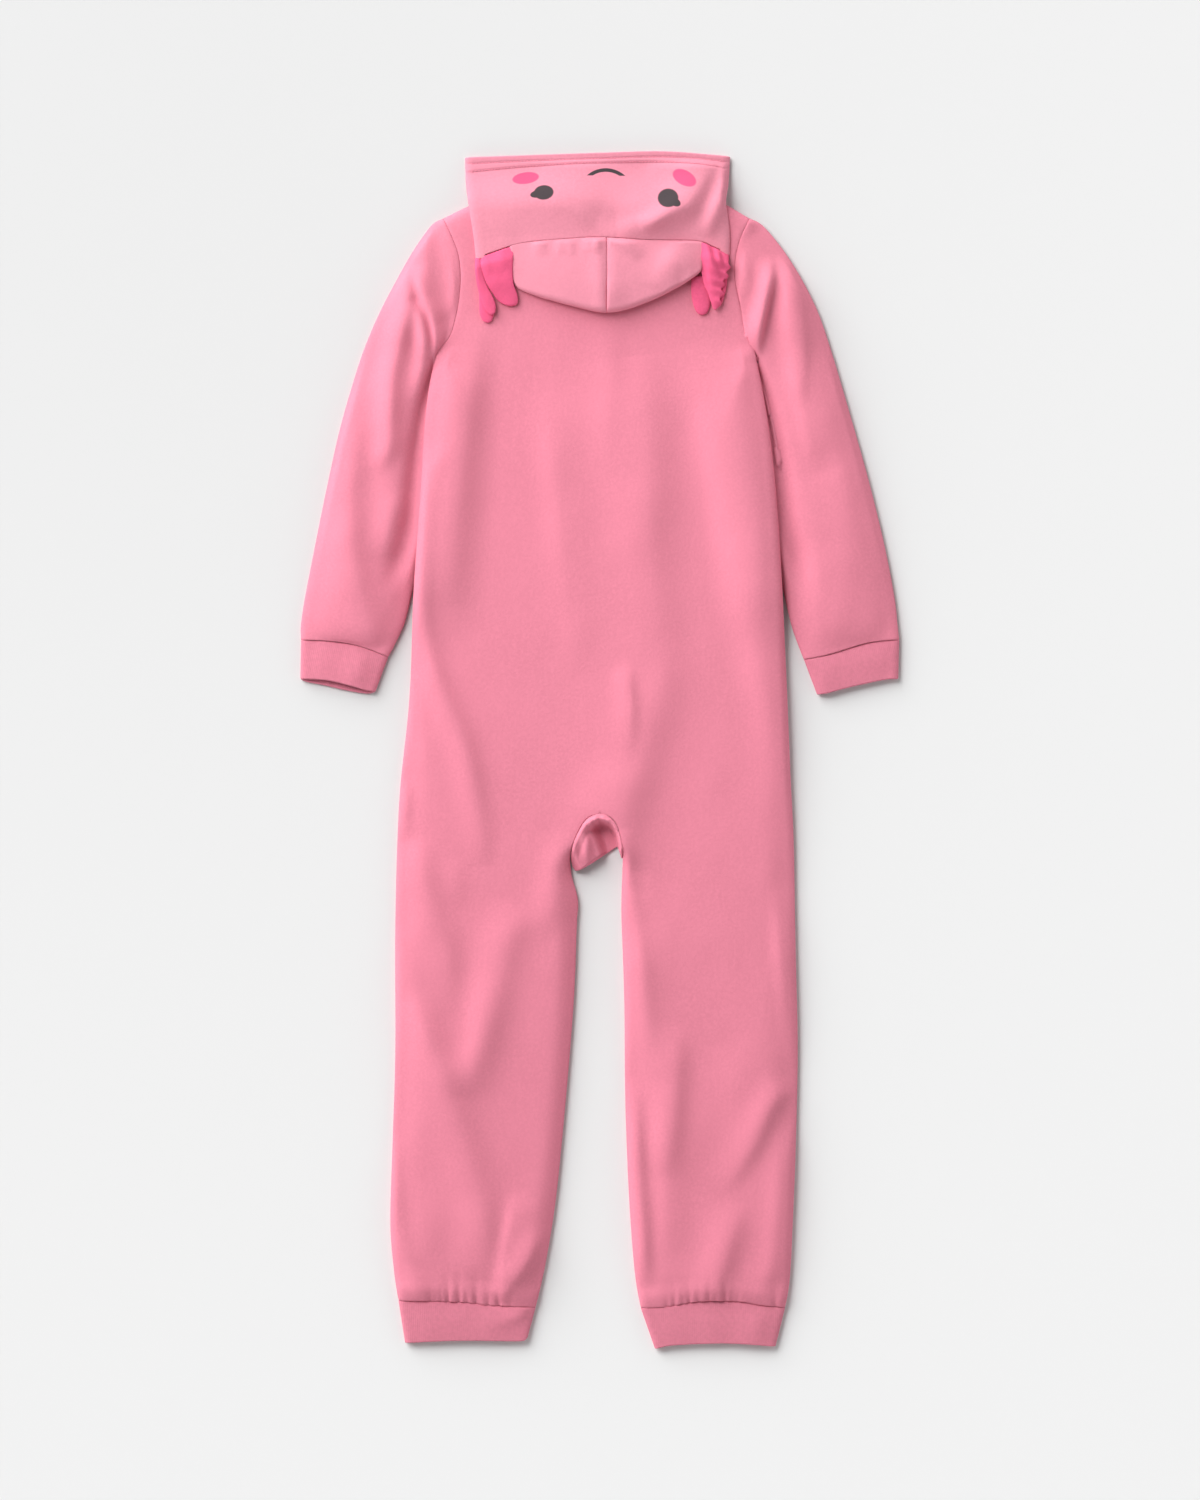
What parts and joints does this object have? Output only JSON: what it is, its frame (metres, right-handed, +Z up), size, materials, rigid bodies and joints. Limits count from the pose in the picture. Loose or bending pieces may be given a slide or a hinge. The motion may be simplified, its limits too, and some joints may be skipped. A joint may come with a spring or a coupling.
{
  "type": "onesie pajama",
  "caption": "Child's hooded fleece onesie pajama, laid flat face down with the hood folded onto the back and a zip underneath",
  "frame": {"origin": "middle of the laid-out garment, on the surface it lies on", "axes": "+X to the right seen from above, +Y from the feet to the hood, +Z up; the garment lies face down with its back up"},
  "size_m": [0.5216, 1.0428, 0.0174],
  "materials": {
    "fleece": "soft brushed fleece with a short nap",
    "hood_fleece": "soft brushed fleece, a little lighter",
    "rib": "fine rib knit",
    "gill_fleece": "deep pink fleece",
    "zip_tape": "woven tape with a nylon coil",
    "zip_metal": "polished nickel plate"
  },
  "bodies": {
    "garment": {"back": "fleece", "front_left": "fleece", "front_right": "fleece", "crotch_gusset": "fleece", "sleeve_left": "fleece", "sleeve_right": "fleece", "sleeve_cuff_left": "rib", "sleeve_cuff_right": "rib", "leg_cuff_left": "rib", "leg_cuff_right": "rib", "hood_band": "hood_fleece", "hood_crown_left": "hood_fleece", "hood_crown_right": "hood_fleece", "gill_left_1": "gill_fleece", "gill_left_2": "gill_fleece", "gill_left_3": "gill_fleece", "gill_right_1": "gill_fleece", "gill_right_2": "gill_fleece", "gill_right_3": "gill_fleece", "zip_left": "zip_tape", "zip_right": "zip_tape", "zip_slider": "zip_metal"},
    "pull": {"zip_pull": "zip_metal"}
  },
  "joints": [
    {"name": "pull_swing", "type": "hinge", "parent": "garment", "child": "pull", "pos_m": [0, 0.433, 0.00145], "axis": [1, 0, 0], "range_deg": [0, 150]}
  ]
}
